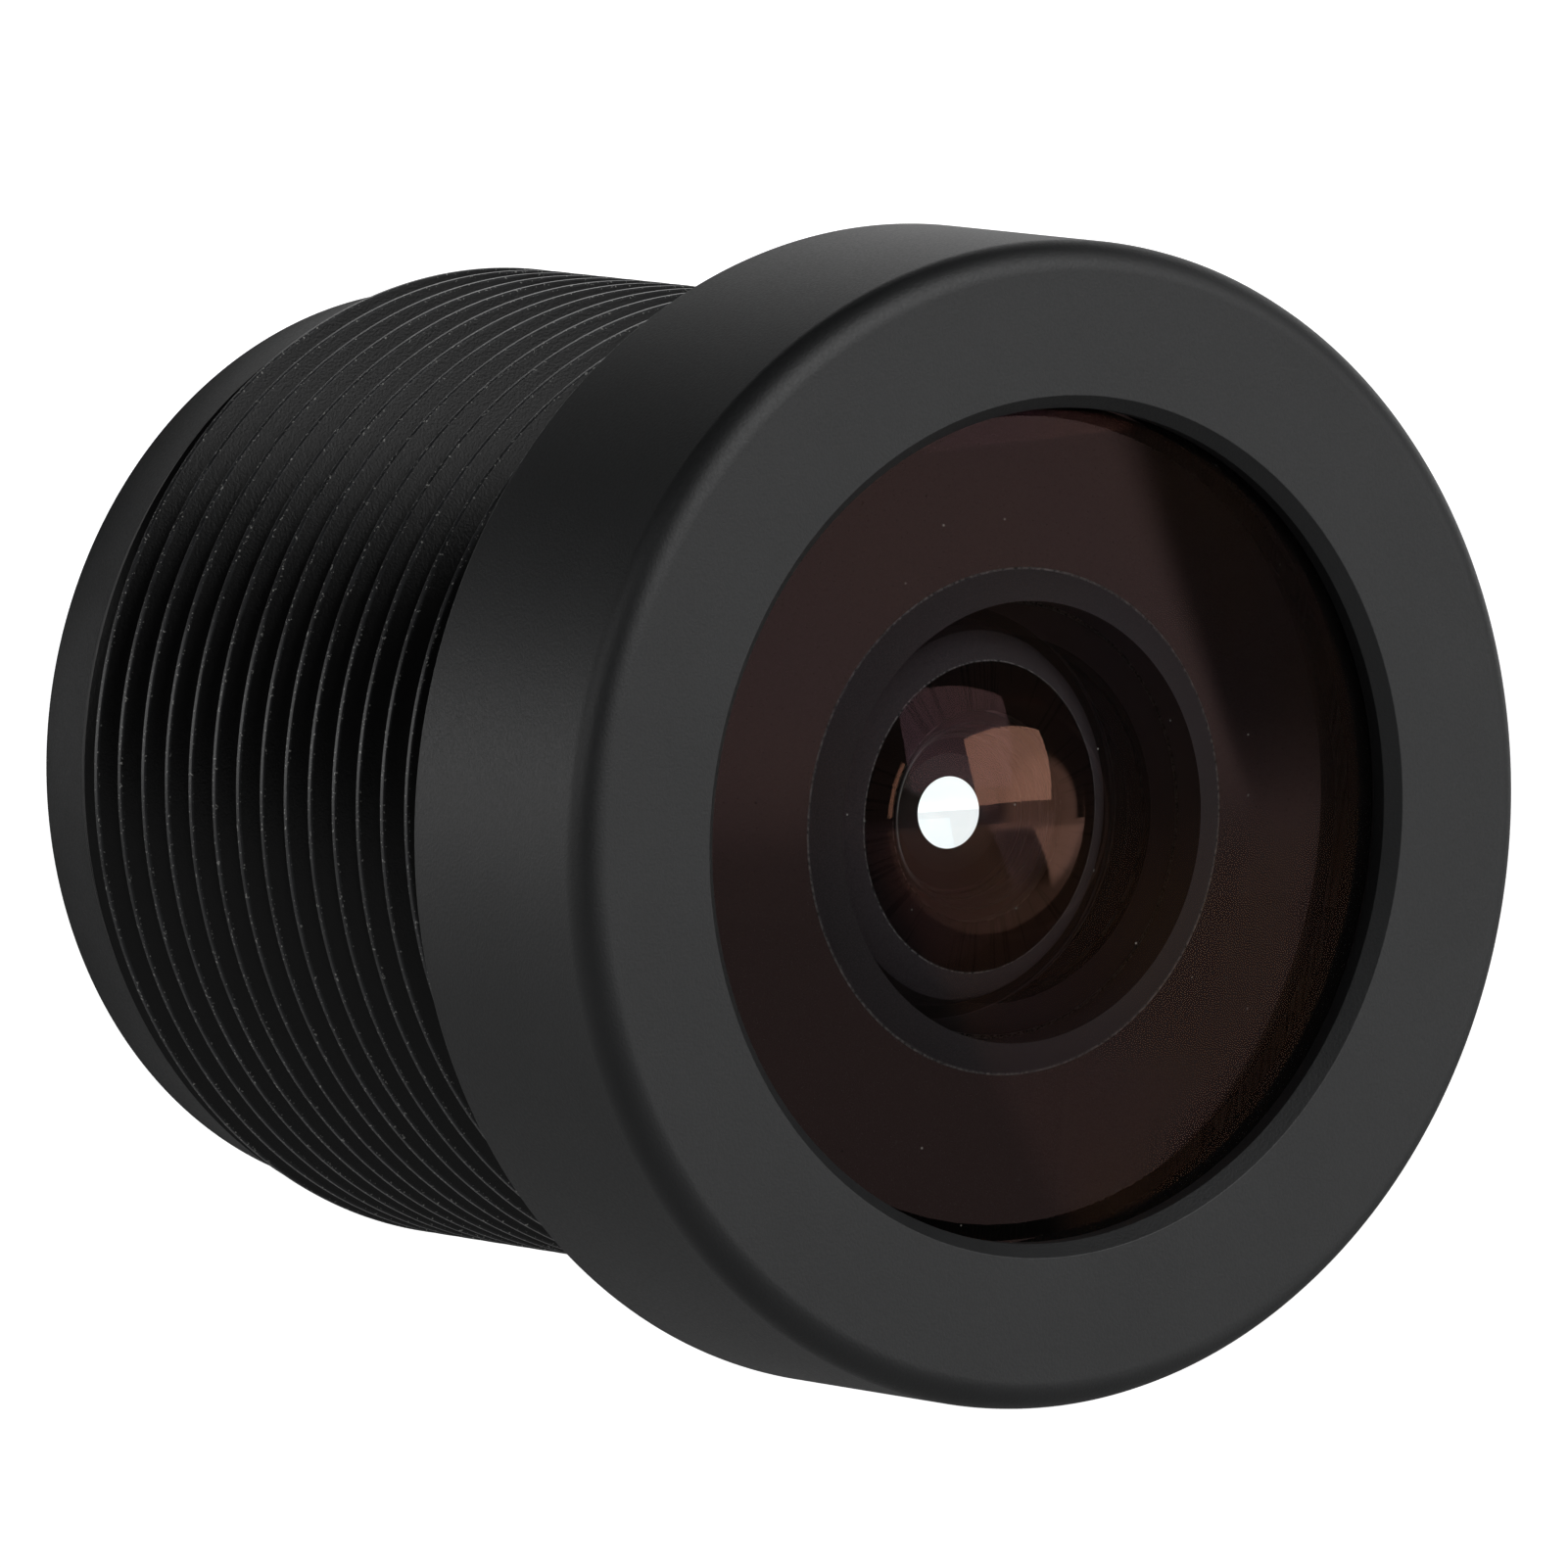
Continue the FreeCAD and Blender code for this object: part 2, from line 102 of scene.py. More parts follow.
def turned(name, runs, finishes, node, columns=256):
    # runs are (finish name, points) in order round a closed section, which is swept about the optical axis
    loop = [p for _, points in runs for p in points[:-1]]
    area = sum(a[0] * b[1] - b[0] * a[1] for a, b in zip(loop, loop[1:] + loop[:1]))
    side = -1 if area > 0 else 1
    angles = np.arange(columns) * 2 * math.pi / columns
    cosines, sines = np.cos(angles), np.sin(angles)
    verts, rings = [], []
    for r, y in loop:
        start = len(verts)
        if r < 1e-6:
            verts.append((0.0, y * mm, 0.0))
            rings.append([start] * columns)
        else:
            verts += [(r * c * mm, y * mm, r * s * mm) for c, s in zip(cosines, sines)]
            rings.append(list(range(start, start + columns)))
    faces, normals, slots = [], [], []
    finishNames = list(finishes)
    i = 0
    for finish, points in runs:
        flat = runNormals(points) * side
        for k in range(len(points) - 1):
            low, high = rings[i], rings[(i + 1) % len(rings)]
            i += 1
            if low[0] == low[1] and high[0] == high[1]:
                continue
            for j in range(columns):
                j2 = (j + 1) % columns
                corners = [(low[j], k, j), (low[j2], k, j2), (high[j2], k + 1, j2), (high[j], k + 1, j)]
                if low[0] == low[1]:
                    corners.pop(1)
                elif high[0] == high[1]:
                    corners.pop(2)
                if side < 0:
                    corners.reverse()
                faces.append([c[0] for c in corners])
                slots.append(finishNames.index(finish))
                for _, row, col in corners:
                    n = flat[row]
                    normals.append((n[0] * cosines[col], n[1], n[0] * sines[col]))
    mesh = bpy.data.meshes.new(name)
    mesh.from_pydata(verts, [], faces)
    for finish in finishes.values():
        mesh.materials.append(finish)
    mesh.polygons.foreach_set("material_index", slots)
    mesh.polygons.foreach_set("use_smooth", [True] * len(faces))
    mesh.normals_split_custom_set(normals)
    return placed(name, mesh, node)


def placed(name, mesh, node):
    piece = bpy.data.objects.new(name, mesh)
    bpy.context.scene.collection.objects.link(piece)
    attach(piece, "root")
    if node:
        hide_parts(node)
    return piece


# ---- material helpers

def linear(code):
    channels = [int(code[i:i + 2], 16) / 255 for i in (1, 3, 5)]
    return tuple(c / 12.92 if c <= 0.04045 else ((c + 0.055) / 1.055) ** 2.4 for c in channels) + (1.0,)


def newMaterial(name):
    material = bpy.data.materials.new(name)
    material.use_nodes = True
    material.node_tree.nodes.clear()
    return material


def add(tree, kind, inputs=None, ramp=None, **settings):
    # adds a node; inputs gives a socket to link or a value for each input by its name or number, and settings
    # are attributes, or names of inputs with _ for a space
    node = tree.nodes.new(kind)
    for key, value in settings.items():
        if hasattr(node, key):
            setattr(node, key, value)
        else:
            node.inputs[key.replace("_", " ")].default_value = value
    for key, value in (inputs or {}).items():
        if isinstance(value, bpy.types.NodeSocket):
            tree.links.new(value, node.inputs[key])
        else:
            node.inputs[key].default_value = value
    if ramp:
        for element, (place, colour) in zip(node.color_ramp.elements, ramp):
            element.position, element.color = place, colour
    return node


def grain(size):
    # noise scale in features per metre for grain of that size in millimetres
    return 1 / (size * mm)


def shades(dark, light, start=0.35, end=0.65):
    # a colour ramp over the middle of a noise, where nearly all its values lie
    return [(start, linear(dark)), (end, linear(light))]


reliefDepth = 0.01 * mm


def blackAnodised(name, settings):
    # aluminium, blasted or turned, then dyed black: matt, with a fine sparkle and a sheen at low angles
    material = newMaterial(name)
    tree = material.node_tree
    place = add(tree, "ShaderNodeTexCoord").outputs["Object"]
    fine = add(tree, "ShaderNodeTexNoise", {"Vector": place}, Scale=grain(settings["grain"]), Detail=3.0)
    cloudy = add(tree, "ShaderNodeTexNoise", {"Vector": place}, Scale=grain(settings["cloud"]), Detail=2.0)
    dye = add(tree, "ShaderNodeValToRGB", {"Fac": cloudy.outputs["Fac"]},
              ramp=shades(settings["dark"], settings["light"]))
    unevenness = 0.05
    rough = add(tree, "ShaderNodeMapRange", {"Value": fine.outputs["Fac"]}, From_Min=0.3, From_Max=0.7,
                To_Min=settings["roughness"] - unevenness, To_Max=settings["roughness"] + unevenness)
    bump = add(tree, "ShaderNodeBump", {"Height": fine.outputs["Fac"]},
               Strength=settings["bump"], Distance=reliefDepth)
    skin = add(tree, "ShaderNodeBsdfPrincipled",
               {"Base Color": dye.outputs["Color"], "Roughness": rough.outputs["Result"],
                "Normal": bump.outputs["Normal"]},
               Metallic=0.0, IOR=settings["ior"])
    add(tree, "ShaderNodeOutputMaterial", {"Surface": skin.outputs["BSDF"]})
    return material


def cutThread(name, settings):
    # threads cut before anodising: near-black flanks, their darkness painted groove shade; crests paler, partly rubbed
    # by handling and partly a painted highlight where the crest flats catch the light, with specks of burr
    material = newMaterial(name)
    tree = material.node_tree
    place = add(tree, "ShaderNodeTexCoord").outputs["Object"]
    acrossAxis = add(tree, "ShaderNodeVectorMath", {0: place, 1: (1, 0, 1)}, operation="MULTIPLY")
    radius = add(tree, "ShaderNodeVectorMath", {0: acrossAxis.outputs[0]}, operation="LENGTH").outputs["Value"]
    # the crests, by distance from the axis, are painted paler: partly rubbed wear, partly a painted highlight; the
    # rest keeps the dark end, painted groove shade
    low, high = settings["litAndRubbedCrest"]
    litAndRubbedCrest = add(tree, "ShaderNodeMapRange", {"Value": radius}, From_Min=low * mm, From_Max=high * mm)
    uneven = add(tree, "ShaderNodeTexNoise", {"Vector": place}, Scale=grain(settings["uneven"]), Detail=2.0)
    share = add(tree, "ShaderNodeMath", {0: litAndRubbedCrest.outputs["Result"], 1: uneven.outputs["Fac"]},
                operation="MULTIPLY")
    dye = add(tree, "ShaderNodeValToRGB", {"Fac": share.outputs[0]},
              ramp=shades(settings["dark"], settings["light"], start=0.15))
    burrs = add(tree, "ShaderNodeTexNoise", {"Vector": place}, Scale=grain(settings["burr"]), Detail=1.0)
    low, high = settings["burrFrom"]
    peaks = add(tree, "ShaderNodeMapRange", {"Value": burrs.outputs["Fac"]}, From_Min=low, From_Max=high)
    onCrest = add(tree, "ShaderNodeMath", {0: peaks.outputs["Result"], 1: litAndRubbedCrest.outputs["Result"]},
                  operation="MULTIPLY")
    skinColour = add(tree, "ShaderNodeMix", {0: onCrest.outputs[0], 6: dye.outputs["Color"],
                                             7: linear(settings["bare"])}, data_type="RGBA")
    fine = add(tree, "ShaderNodeTexNoise", {"Vector": place}, Scale=grain(settings["grain"]), Detail=3.0)
    bump = add(tree, "ShaderNodeBump", {"Height": fine.outputs["Fac"]},
               Strength=settings["bump"], Distance=reliefDepth)
    skin = add(tree, "ShaderNodeBsdfPrincipled",
               {"Base Color": skinColour.outputs[2], "Normal": bump.outputs["Normal"]},
               Metallic=0.0, Roughness=settings["roughness"], IOR=settings["ior"])
    add(tree, "ShaderNodeOutputMaterial", {"Surface": skin.outputs["BSDF"]})
    return material


def coatedGlass(name, ior, film, tint="#ffffff", dust=None):
    # polished glass under a quarter-wave anti-reflection film: clear, its faint mirror image red to purple;
    # film is its thinnest and thickest in nanometres, and the tint is what stronger coatings leave of the image
    material = newMaterial(name)
    tree = material.node_tree
    place = add(tree, "ShaderNodeTexCoord").outputs["Object"]
    patchSize = 2.5
    patch = add(tree, "ShaderNodeTexNoise", {"Vector": place}, Scale=grain(patchSize), Detail=1.0)
    thickness = add(tree, "ShaderNodeMapRange", {"Value": patch.outputs["Fac"]}, From_Min=0.3, From_Max=0.7,
                    To_Min=film[0], To_Max=film[1])
    glass = add(tree, "ShaderNodeBsdfPrincipled", {"Thin Film Thickness": thickness.outputs["Result"]},
                Base_Color=(1, 1, 1, 1), IOR=ior, Roughness=0.0, Transmission_Weight=1.0,
                Thin_Film_IOR=1.45, Specular_Tint=linear(tint))
    surface = glass.outputs["BSDF"]
    if dust:
        # a thin even film with single specks on it
        cells = add(tree, "ShaderNodeTexVoronoi", {"Vector": place}, Scale=grain(dust["spacing"]))
        size = dust["speck"] / dust["spacing"]
        near = add(tree, "ShaderNodeMapRange", {"Value": cells.outputs["Distance"]},
                   From_Min=size, From_Max=size * dust["core"])
        chance = add(tree, "ShaderNodeSeparateColor", {"Color": cells.outputs["Color"]})
        some = add(tree, "ShaderNodeMapRange", {"Value": chance.outputs["Red"]},
                   From_Min=dust["missing"], From_Max=1.0)
        specks = add(tree, "ShaderNodeMath", {0: near.outputs["Result"], 1: some.outputs["Result"]},
                     operation="MULTIPLY")
        cover = add(tree, "ShaderNodeMapRange", {"Value": specks.outputs[0]},
                    To_Min=dust["film"], To_Max=dust["cover"])
        powder = add(tree, "ShaderNodeBsdfDiffuse", Color=linear(dust["colour"]))
        dusty = add(tree, "ShaderNodeMixShader",
                    {0: cover.outputs["Result"], 1: surface, 2: powder.outputs["BSDF"]})
        surface = dusty.outputs[0]
    add(tree, "ShaderNodeOutputMaterial", {"Surface": surface})
    return material


def simple(name, settings, tint="#ffffff"):
    # a matt or satin surface with a fine grain in its colour and relief; the tint colours what it mirrors
    material = newMaterial(name)
    tree = material.node_tree
    place = add(tree, "ShaderNodeTexCoord").outputs["Object"]
    noise = add(tree, "ShaderNodeTexNoise", {"Vector": place}, Scale=grain(settings["grain"]), Detail=3.0)
    colour = add(tree, "ShaderNodeValToRGB", {"Fac": noise.outputs["Fac"]},
                 ramp=shades(settings["dark"], settings["light"]))
    bump = add(tree, "ShaderNodeBump", {"Height": noise.outputs["Fac"]},
               Strength=settings["bump"], Distance=reliefDepth)
    skin = add(tree, "ShaderNodeBsdfPrincipled",
               {"Base Color": colour.outputs["Color"], "Normal": bump.outputs["Normal"]},
               Metallic=0.0, Roughness=settings["roughness"], IOR=settings["ior"], Specular_Tint=linear(tint))
    add(tree, "ShaderNodeOutputMaterial", {"Surface": skin.outputs["BSDF"]})
    return material


# the grey satin of the head, and the same dye on the finer turned pilot and in the dark bores
headFinish = blackAnodised("blastedBlackAnodised", {
    "dark": "#1d1e1f", "light": "#222324", "grain": 0.035, "cloud": 1.5, "roughness": 0.50, "bump": 0.35, "ior": 1.60})
# the thread's dark end is painted groove shade, and its pale crests partly a painted highlight
threadFinish = cutThread("cutBlackAnodised", {
    "dark": "#0d0d0e", "light": "#37383a", "bare": "#b4b4b0", "litAndRubbedCrest": (5.915, 5.94), "uneven": 0.5, "burr": 0.035,
    "burrFrom": (0.66, 0.70), "grain": 0.03, "roughness": 0.32, "bump": 0.3, "ior": 1.45})
pilotFinish = blackAnodised("turnedBlackAnodised", {
    "dark": "#1c1d1e", "light": "#252627", "grain": 0.03, "cloud": 0.8, "roughness": 0.60, "bump": 0.3, "ior": 1.50})
insideFinish = blackAnodised("deepBlackAnodised", {
    "dark": "#0c0c0d", "light": "#131314", "grain": 0.03, "cloud": 0.6, "roughness": 0.55, "bump": 0.3, "ior": 1.50})
# what shows through the front glass: inked edges, the mirror of its flat rear, and pale ground rims
edgeInk = simple("lensEdgeInk", {
    "dark": "#40363a", "light": "#4e4346", "grain": 0.02, "roughness": 0.7, "bump": 0.2, "ior": 1.45})
inkedFlat = simple("inkUnderPolishedFlat", {
    "dark": "#0c0c0d", "light": "#121213", "grain": 0.02, "roughness": 0.02, "bump": 0.0, "ior": 1.5}, "#c8a09c")
groundEdge = simple("groundGlassEdge", {
    "dark": "#1c1a1a", "light": "#8a8280", "grain": 0.05, "roughness": 0.6, "bump": 0.8, "ior": 1.5})
groundBevel = simple("groundBevel", {
    "dark": "#504a4d", "light": "#5e575a", "grain": 0.02, "roughness": 0.7, "bump": 0.2, "ior": 1.5})
# parts of the stack: dull foil, moulded plastic, rubber, and glue that glints at the rear
blackFoil = simple("blackenedFoil", {
    "dark": "#0d0d0e", "light": "#141415", "grain": 0.02, "roughness": 0.5, "bump": 0.2, "ior": 1.5})
blackPlastic = simple("mouldedBlackPlastic", {
    "dark": "#131314", "light": "#1a1a1b", "grain": 0.05, "roughness": 0.45, "bump": 0.15, "ior": 1.5})
sealRubber = simple("nitrileRubber", {
    "dark": "#101011", "light": "#18181a", "grain": 0.04, "roughness": 0.7, "bump": 0.2, "ior": 1.5})
clearGlue = simple("curedAdhesive", {
    "dark": "#8d8a80", "light": "#a6a297", "grain": 0.1, "roughness": 0.25, "bump": 0.1, "ior": 1.5})

print("materials made")


# ---- the glass, places along the axis

places = {
    "face": -3.44, "firstFront": -3.42, "firstRear": -2.87, "secondFront": -1.77, "secondRear": -1.27,
    "thirdFront": 0.26, "thirdRear": 2.66, "stop": 3.21, "fourthFront": 3.94, "cement": 6.09,
    "fifthRear": 6.54, "sixthFront": 6.69, "sixthRear": 7.61, "threadFront": -0.14,
    "threadEnd": 8.96, "rear": 9.77}

firstLens = {"frontRadius": 37.0, "rearRadius": 4.30, "halfDiameter": 5.35, "rimRadius": 2.95,
             "hollowRadius": 2.60, "bevel": 0.08, "chipped": 0.025, "marginStep": 0.002, "ior": 1.8348,
             "frontFilm": (84, 94), "frontTint": "#7c7c7c", "rearFilm": (82, 90), "rearTint": "#ffc8c0",
             "dust": {"spacing": 0.30, "speck": 0.018, "core": 0.6, "missing": 0.55, "film": 0.006, "cover": 0.8,
                      "colour": "#b4b0aa"}}
s = firstLens
firstSeat = places["firstRear"] + sag(s["rearRadius"], s["rimRadius"])
bevelR = s["halfDiameter"] - s["bevel"]
bevelY = places["firstFront"] + sag(s["frontRadius"], bevelR)
rimR = s["rimRadius"] + s["chipped"]
margin = arc(places["firstRear"], s["rearRadius"], 1, s["rimRadius"], s["hollowRadius"], 12)
margin[0] = (s["rimRadius"], firstSeat - s["marginStep"])
firstRuns = [
    ("front", arc(places["firstFront"], s["frontRadius"], 1, 0, bevelR, 60)),
    ("ground", [(bevelR, bevelY), (s["halfDiameter"], bevelY + s["bevel"])]),
    ("inked", [(s["halfDiameter"], bevelY + s["bevel"]), (s["halfDiameter"], firstSeat)]),
    ("flat", [(s["halfDiameter"], firstSeat), (rimR, firstSeat)]),
    ("ground", [(rimR, firstSeat), margin[0]]),
    ("margin", margin),
    ("rear", arc(places["firstRear"], s["rearRadius"], 1, s["hollowRadius"], 0, 60)),
    ("inked", [(0, places["firstRear"]), (0, places["firstFront"])]),
]
turned("frontGlass", firstRuns, {
    "front": coatedGlass("frontCoating", s["ior"], s["frontFilm"], s["frontTint"], s["dust"]), "inked": edgeInk,
    "flat": inkedFlat, "ground": groundEdge, "margin": groundBevel,
    "rear": coatedGlass("hollowCoating", s["ior"], s["rearFilm"], s["rearTint"])},
    "first_lens", 320)

secondLens = {"frontRadius": 16.3, "rearRadius": 2.35, "frontClear": 2.25, "landWidth": 0.40,
              "stepBevel": 0.15, "rearClear": 1.62, "halfDiameter": 3.58, "lip": 0.50, "chipped": 0.02,
              "ior": 1.6204, "film": (84, 94), "frontTint": "#cca8b0", "rearTint": "#806068"}
s = secondLens
landY = places["secondFront"] + sag(s["frontRadius"], s["frontClear"])
landR = s["frontClear"] + s["landWidth"]
stepR = landR + s["stepBevel"]
secondSeat = firstSeat + s["lip"]
secondBack = places["secondRear"] + sag(s["rearRadius"], s["rearClear"])
secondRuns = [
    ("front", arc(places["secondFront"], s["frontRadius"], 1, 0, s["frontClear"], 50)),
    ("ground", [(s["frontClear"], landY), (s["frontClear"] + s["chipped"], landY)]),
    ("inked", [(s["frontClear"] + s["chipped"], landY), (landR, landY)]),
    ("inked", [(landR, landY), (stepR, landY + s["stepBevel"])]),
    ("inked", [(stepR, landY + s["stepBevel"]), (stepR, secondSeat)]),
    ("inked", [(stepR, secondSeat), (s["halfDiameter"], secondSeat)]),
    ("inked", [(s["halfDiameter"], secondSeat), (s["halfDiameter"], secondBack)]),
    ("inked", [(s["halfDiameter"], secondBack), (s["rearClear"] + s["chipped"], secondBack)]),
    ("ground", [(s["rearClear"] + s["chipped"], secondBack), (s["rearClear"], secondBack)]),
    ("rear", arc(places["secondRear"], s["rearRadius"], 1, s["rearClear"], 0, 60)),
    ("inked", [(0, places["secondRear"]), (0, places["secondFront"])]),
]
turned("secondGlass", secondRuns, {
    "front": coatedGlass("secondFrontCoating", s["ior"], s["film"], s["frontTint"]), "inked": edgeInk,
    "ground": groundEdge, "rear": coatedGlass("secondRearCoating", s["ior"], s["film"], s["rearTint"])},
    "second_lens")

thirdLens = {"frontRadius": 5.3, "clear": 2.20, "halfDiameter": 3.58, "ior": 1.8467,
             "film": (84, 94), "frontTint": "#ecbcbc", "rearTint": "#403034"}
s = thirdLens
thirdSeat = places["thirdFront"] + sag(s["frontRadius"], s["clear"])
thirdRuns = [
    ("front", arc(places["thirdFront"], s["frontRadius"], 1, 0, s["clear"], 50)),
    ("inked", [(s["clear"], thirdSeat), (s["halfDiameter"], thirdSeat)]),
    ("inked", [(s["halfDiameter"], thirdSeat), (s["halfDiameter"], places["thirdRear"])]),
    ("rear", [(s["halfDiameter"], places["thirdRear"]), (0, places["thirdRear"])]),
    ("inked", [(0, places["thirdRear"]), (0, places["thirdFront"])]),
]
turned("thirdGlass", thirdRuns, {
    "front": coatedGlass("thirdFrontCoating", s["ior"], s["film"], s["frontTint"]), "inked": edgeInk,
    "rear": coatedGlass("thirdRearCoating", s["ior"], s["film"], s["rearTint"])}, "third_lens")

# The cemented pair: the fourth lens ends a hair short of the fifth, whose front bends light from glass to glass.
pair = {"cementRadius": 1.83, "fourthHalf": 1.75, "fifthHalf": 2.60, "fifthRearRadius": 4.14, "fifthClear": 2.20,
        "cementGap": 0.001, "fourthIor": 1.6968, "fifthIor": 1.8467, "film": (84, 94), "tint": "#806868"}
s = pair
pairEdge = places["cement"] - sag(s["cementRadius"], s["fourthHalf"])
fifthBack = places["fifthRear"] - sag(s["fifthRearRadius"], s["fifthClear"])
cementLayer = newMaterial("opticalCement")
openTree = cementLayer.node_tree
clearSide = add(openTree, "ShaderNodeBsdfTransparent")
add(openTree, "ShaderNodeOutputMaterial", {"Surface": clearSide.outputs["BSDF"]})
fourthArc = [(r, y - s["cementGap"])
             for r, y in arc(places["cement"], s["cementRadius"], -1, s["fourthHalf"], 0, 60)]
fourthRuns = [
    ("front", [(0, places["fourthFront"]), (s["fourthHalf"], places["fourthFront"])]),
    ("inked", [(s["fourthHalf"], places["fourthFront"]), (s["fourthHalf"], fourthArc[0][1])]),
    ("cemented", fourthArc),
    ("inked", [fourthArc[-1], (0, places["fourthFront"])]),
]
turned("fourthGlass", fourthRuns, {
    "front": coatedGlass("fourthFrontCoating", s["fourthIor"], s["film"], s["tint"]), "inked": edgeInk,
    "cemented": cementLayer}, "fourth_lens")
fifthRuns = [
    ("cemented", arc(places["cement"], s["cementRadius"], -1, 0, s["fourthHalf"], 60)),
    ("inked", [(s["fourthHalf"], pairEdge), (s["fifthHalf"], pairEdge)]),
    ("inked", [(s["fifthHalf"], pairEdge), (s["fifthHalf"], fifthBack)]),
    ("inked", [(s["fifthHalf"], fifthBack), (s["fifthClear"], fifthBack)]),
    ("rear", arc(places["fifthRear"], s["fifthRearRadius"], -1, s["fifthClear"], 0, 50)),
    ("inked", [(0, places["fifthRear"]), (0, places["cement"])]),
]
turned("fifthGlass", fifthRuns, {
    "cemented": coatedGlass("cementedFace", s["fifthIor"] / s["fourthIor"], (0, 0), s["tint"]), "inked": edgeInk,
    "rear": coatedGlass("fifthRearCoating", s["fifthIor"], s["film"], s["tint"])}, "fifth_lens")

sixthLens = {"frontRadius": 9.1, "rearRadius": 15.0, "frontClear": 2.40, "rearClear": 2.50, "halfDiameter": 3.58,
             "ior": 1.5891, "film": (84, 94), "tint": "#806868"}
s = sixthLens
sixthSeat = places["sixthFront"] + sag(s["frontRadius"], s["frontClear"])
sixthBack = places["sixthRear"] - sag(s["rearRadius"], s["rearClear"])
sixthRuns = [
    ("polished", arc(places["sixthFront"], s["frontRadius"], 1, 0, s["frontClear"], 40)),
    ("inked", [(s["frontClear"], sixthSeat), (s["halfDiameter"], sixthSeat)]),
    ("inked", [(s["halfDiameter"], sixthSeat), (s["halfDiameter"], sixthBack)]),
    ("inked", [(s["halfDiameter"], sixthBack), (s["rearClear"], sixthBack)]),
    ("polished", arc(places["sixthRear"], s["rearRadius"], -1, s["rearClear"], 0, 40)),
    ("inked", [(0, places["sixthRear"]), (0, places["sixthFront"])]),
]
turned("sixthGlass", sixthRuns, {
    "polished": coatedGlass("sixthCoating", s["ior"], s["film"], s["tint"]), "inked": edgeInk},
    "sixth_lens")
print("glass made")


# ---- the head

head = {"radius": 7.0, "frontRounding": 0.36, "rearRounding": 0.03, "mouth": 5.0, "mouthChamfer": 0.16,
        "bore": 6.27, "roofThickness": 0.95, "pocket": 5.40, "edgeRounding": 0.02}
s = head
e = s["edgeRounding"]
lipY = places["firstFront"] + sag(firstLens["frontRadius"], s["mouth"])
roofY = places["face"] + s["roofThickness"]
headRuns = softened([
    (s["mouth"], lipY, 0),
    (s["mouth"], places["face"] + s["mouthChamfer"], e),
    (s["mouth"] + s["mouthChamfer"], places["face"], e),
    (s["radius"], places["face"], s["frontRounding"]),
    (s["radius"], 0, s["rearRounding"]),
    (s["bore"], 0, e),
    (s["bore"], roofY, 0),
    (s["pocket"], roofY, 0),
    (s["pocket"], lipY, 0),
], 8)
turned("headCap", [("plain", run) for run in headRuns], {"plain": headFinish}, "front_cap", 512)


# ---- the barrel with its thread

barrel = {"crest": 5.95, "pitch": 0.5, "flats": 8, "flank": 30, "core": 5.2, "pilot": 5.59, "pilotChamfer": 0.05,
          "leadIn": 30, "crestRounding": 0.012, "rootRounding": 0.05, "mouthChamfer": 0.30, "retainerBore": 4.30,
          "retainerShelf": 7.46, "stackBore": 3.60, "lip": 3.05, "lipThickness": 0.50, "grooveInner": 4.55,
          "grooveOuter": 5.15, "grooveDepth": 0.40, "pocket": 5.40, "noseRadius": 6.25, "noseFront": -2.44,
          "inkFilm": 0.004, "threadBase": 5.45, "sharpFrom": 38, "weld": 0.0003, "sliver": 0.0002}


